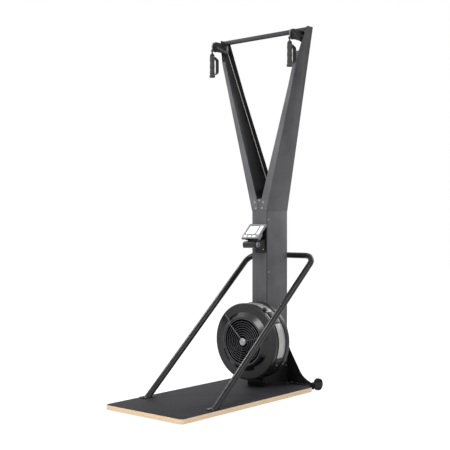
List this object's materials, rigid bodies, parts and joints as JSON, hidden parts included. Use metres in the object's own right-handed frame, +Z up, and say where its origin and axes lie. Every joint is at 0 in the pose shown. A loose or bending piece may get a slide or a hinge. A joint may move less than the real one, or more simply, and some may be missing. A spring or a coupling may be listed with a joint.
{
  "type": "ski trainer machine",
  "caption": "Standing pull trainer: padded board, grey column with two splayed arms, hanging pull handles, caged air fan, tilting monitor and bent tube brace.",
  "frame": {"origin": "on the floor, in the middle of the overall width and length", "axes": "+Z up, +Y from the user end towards the column, +X to the user's right"},
  "size_m": [0.7084, 1.3414, 2.306],
  "materials": {
    "plywood": "birch plywood, clear edge",
    "mat_rubber": "fine grained sheet",
    "black_rubber": "moulded",
    "grey_steel": "satin powder coat",
    "black_steel": "satin powder coat",
    "black_plastic": "fine grained moulding",
    "grille_wire": "fine grained moulding",
    "silver_band": "perforated sheet",
    "zinc_steel": "zinc plated",
    "bezel_plastic": "light grey moulding",
    "screen_glass": "clear window over a pale display",
    "white_key": "soft touch",
    "pale_cord": "braided sheath",
    "dark_cord": "woven",
    "grip_rubber": "ribbed"
  },
  "bodies": {
    "frame": {"base_bracket": "black_steel", "brace_clamp": "black_steel", "brace_tube": "black_steel", "column_channel": "grey_steel", "column_front_cover": "grey_steel", "fan_front_cowl": "black_plastic", "fan_grille": "grille_wire", "fan_lower_shroud": "black_plastic", "fan_rear_housing": "black_plastic", "fan_screen_band": "silver_band", "front_axle_bearing": "zinc_steel", "grille_cap": "zinc_steel", "left_arm": "grey_steel", "left_drive_cord": "pale_cord", "left_foot_strip": "black_rubber", "left_pulley_head": "black_steel", "left_return_cord": "dark_cord", "monitor_bracket": "black_steel", "platform_board": "plywood", "platform_mat": "mat_rubber", "rear_axle_bearing": "zinc_steel", "rear_foot": "black_steel", "rear_gusset": "black_steel", "rear_junction_plate": "black_steel", "right_arm": "grey_steel", "right_drive_cord": "pale_cord", "right_foot_strip": "black_rubber", "right_pulley_head": "black_steel", "right_return_cord": "dark_cord", "top_crossbar": "grey_steel"},
    "fan": {"fan_wheel": "black_plastic", "fan_axle": "zinc_steel"},
    "left_wheel": {"left_transport_wheel": "black_rubber"},
    "right_wheel": {"right_transport_wheel": "black_rubber"},
    "damper": {"damper_ring": "black_plastic"},
    "monitor": {"pivot_barrel": "black_plastic", "monitor_case": "black_plastic", "monitor_bezel": "bezel_plastic", "monitor_screen": "screen_glass", "screen_side_strip": "white_key"},
    "tilt_knob": {"tilt_knob": "black_plastic"},
    "left_button": {"left_button": "white_key"},
    "middle_button": {"middle_button": "white_key"},
    "right_button": {"right_button": "white_key"},
    "left_handle": {"left_pull_cord": "pale_cord", "left_handle_cap": "black_plastic", "left_handle_grip": "grip_rubber", "left_wrist_strap": "dark_cord"},
    "left_top_pulley": {"left_top_pulley": "black_plastic"},
    "left_exit_pulley": {"left_exit_pulley": "black_plastic"},
    "left_idler_pulley": {"left_idler_pulley": "black_plastic"},
    "left_reel": {"left_cord_reel": "black_plastic"},
    "right_handle": {"right_pull_cord": "pale_cord", "right_handle_cap": "black_plastic", "right_handle_grip": "grip_rubber", "right_wrist_strap": "dark_cord"},
    "right_top_pulley": {"right_top_pulley": "black_plastic"},
    "right_exit_pulley": {"right_exit_pulley": "black_plastic"},
    "right_idler_pulley": {"right_idler_pulley": "black_plastic"},
    "right_reel": {"right_cord_reel": "black_plastic"}
  },
  "joints": [
    {"name": "fan_spin", "type": "hinge", "parent": "frame", "child": "fan", "pos_m": [0, 0.3, 0.332], "axis": [0, 1, 0], "continuous": true},
    {"name": "left_wheel_spin", "type": "hinge", "parent": "frame", "child": "left_wheel", "pos_m": [-0.284, 0.633, 0.04], "axis": [1, 0, 0], "continuous": true},
    {"name": "right_wheel_spin", "type": "hinge", "parent": "frame", "child": "right_wheel", "pos_m": [0.284, 0.633, 0.04], "axis": [1, 0, 0], "continuous": true},
    {"name": "left_handle_pull", "type": "slide", "parent": "frame", "child": "left_handle", "axis": [0, 0, -1], "range_m": [0, 1.4], "stiffness_N_per_m": 8, "springref_m": -1, "deforming": ["left_pull_cord"]},
    {"name": "left_top_pulley_spin", "type": "hinge", "parent": "frame", "child": "left_top_pulley", "pos_m": [-0.315, 0.408, 2.241], "axis": [1, 0, 0], "continuous": true},
    {"name": "left_exit_pulley_spin", "type": "hinge", "parent": "frame", "child": "left_exit_pulley", "pos_m": [-0.315, 0.312, 2.241], "axis": [1, 0, 0], "continuous": true},
    {"name": "left_idler_pulley_spin", "type": "hinge", "parent": "frame", "child": "left_idler_pulley", "pos_m": [-0.062, 0.5438, 1.29], "axis": [0, 1, 0], "continuous": true},
    {"name": "left_reel_spin", "type": "hinge", "parent": "frame", "child": "left_reel", "pos_m": [0, 0.484, 0.332], "axis": [0, 1, 0], "continuous": true},
    {"name": "right_handle_pull", "type": "slide", "parent": "frame", "child": "right_handle", "axis": [0, 0, -1], "range_m": [0, 1.4], "stiffness_N_per_m": 8, "springref_m": -1, "deforming": ["right_pull_cord"]},
    {"name": "right_top_pulley_spin", "type": "hinge", "parent": "frame", "child": "right_top_pulley", "pos_m": [0.315, 0.408, 2.241], "axis": [1, 0, 0], "continuous": true},
    {"name": "right_exit_pulley_spin", "type": "hinge", "parent": "frame", "child": "right_exit_pulley", "pos_m": [0.315, 0.312, 2.241], "axis": [1, 0, 0], "continuous": true},
    {"name": "right_idler_pulley_spin", "type": "hinge", "parent": "frame", "child": "right_idler_pulley", "pos_m": [0.062, 0.5438, 1.29], "axis": [0, 1, 0], "continuous": true},
    {"name": "right_reel_spin", "type": "hinge", "parent": "frame", "child": "right_reel", "pos_m": [0, 0.546, 0.332], "axis": [0, 1, 0], "continuous": true},
    {"name": "damper_turn", "type": "hinge", "parent": "frame", "child": "damper", "pos_m": [0, 0.268, 0.332], "axis": [0, 1, 0], "range_deg": [-22, 22]},
    {"name": "monitor_tilt", "type": "hinge", "parent": "frame", "child": "monitor", "pos_m": [0, 0.295, 0.942], "axis": [1, 0, 0], "range_deg": [0, 40]},
    {"name": "tilt_knob_turn", "type": "hinge", "parent": "frame", "child": "tilt_knob", "pos_m": [0, 0.295, 0.942], "axis": [1, 0, 0], "range_deg": [0, 270]},
    {"name": "left_button_press", "type": "slide", "parent": "monitor", "child": "left_button", "axis": [0, 0.7071, -0.7071], "range_m": [0, 0.0012], "stiffness_N_per_m": 200, "springref_m": -0.002},
    {"name": "middle_button_press", "type": "slide", "parent": "monitor", "child": "middle_button", "axis": [0, 0.7071, -0.7071], "range_m": [0, 0.0012], "stiffness_N_per_m": 200, "springref_m": -0.002},
    {"name": "right_button_press", "type": "slide", "parent": "monitor", "child": "right_button", "axis": [0, 0.7071, -0.7071], "range_m": [0, 0.0012], "stiffness_N_per_m": 200, "springref_m": -0.002}
  ],
  "couplings": [
    {"joint": "left_top_pulley_spin", "follows": "left_handle_pull", "rad_per_m": 32.468},
    {"joint": "left_exit_pulley_spin", "follows": "left_handle_pull", "rad_per_m": 32.468},
    {"joint": "left_idler_pulley_spin", "follows": "left_handle_pull", "rad_per_m": -40.816},
    {"joint": "left_reel_spin", "follows": "left_handle_pull", "rad_per_m": -34.722},
    {"joint": "right_top_pulley_spin", "follows": "right_handle_pull", "rad_per_m": 32.468},
    {"joint": "right_exit_pulley_spin", "follows": "right_handle_pull", "rad_per_m": 32.468},
    {"joint": "right_idler_pulley_spin", "follows": "right_handle_pull", "rad_per_m": 40.816},
    {"joint": "right_reel_spin", "follows": "right_handle_pull", "rad_per_m": -34.722}
  ]
}
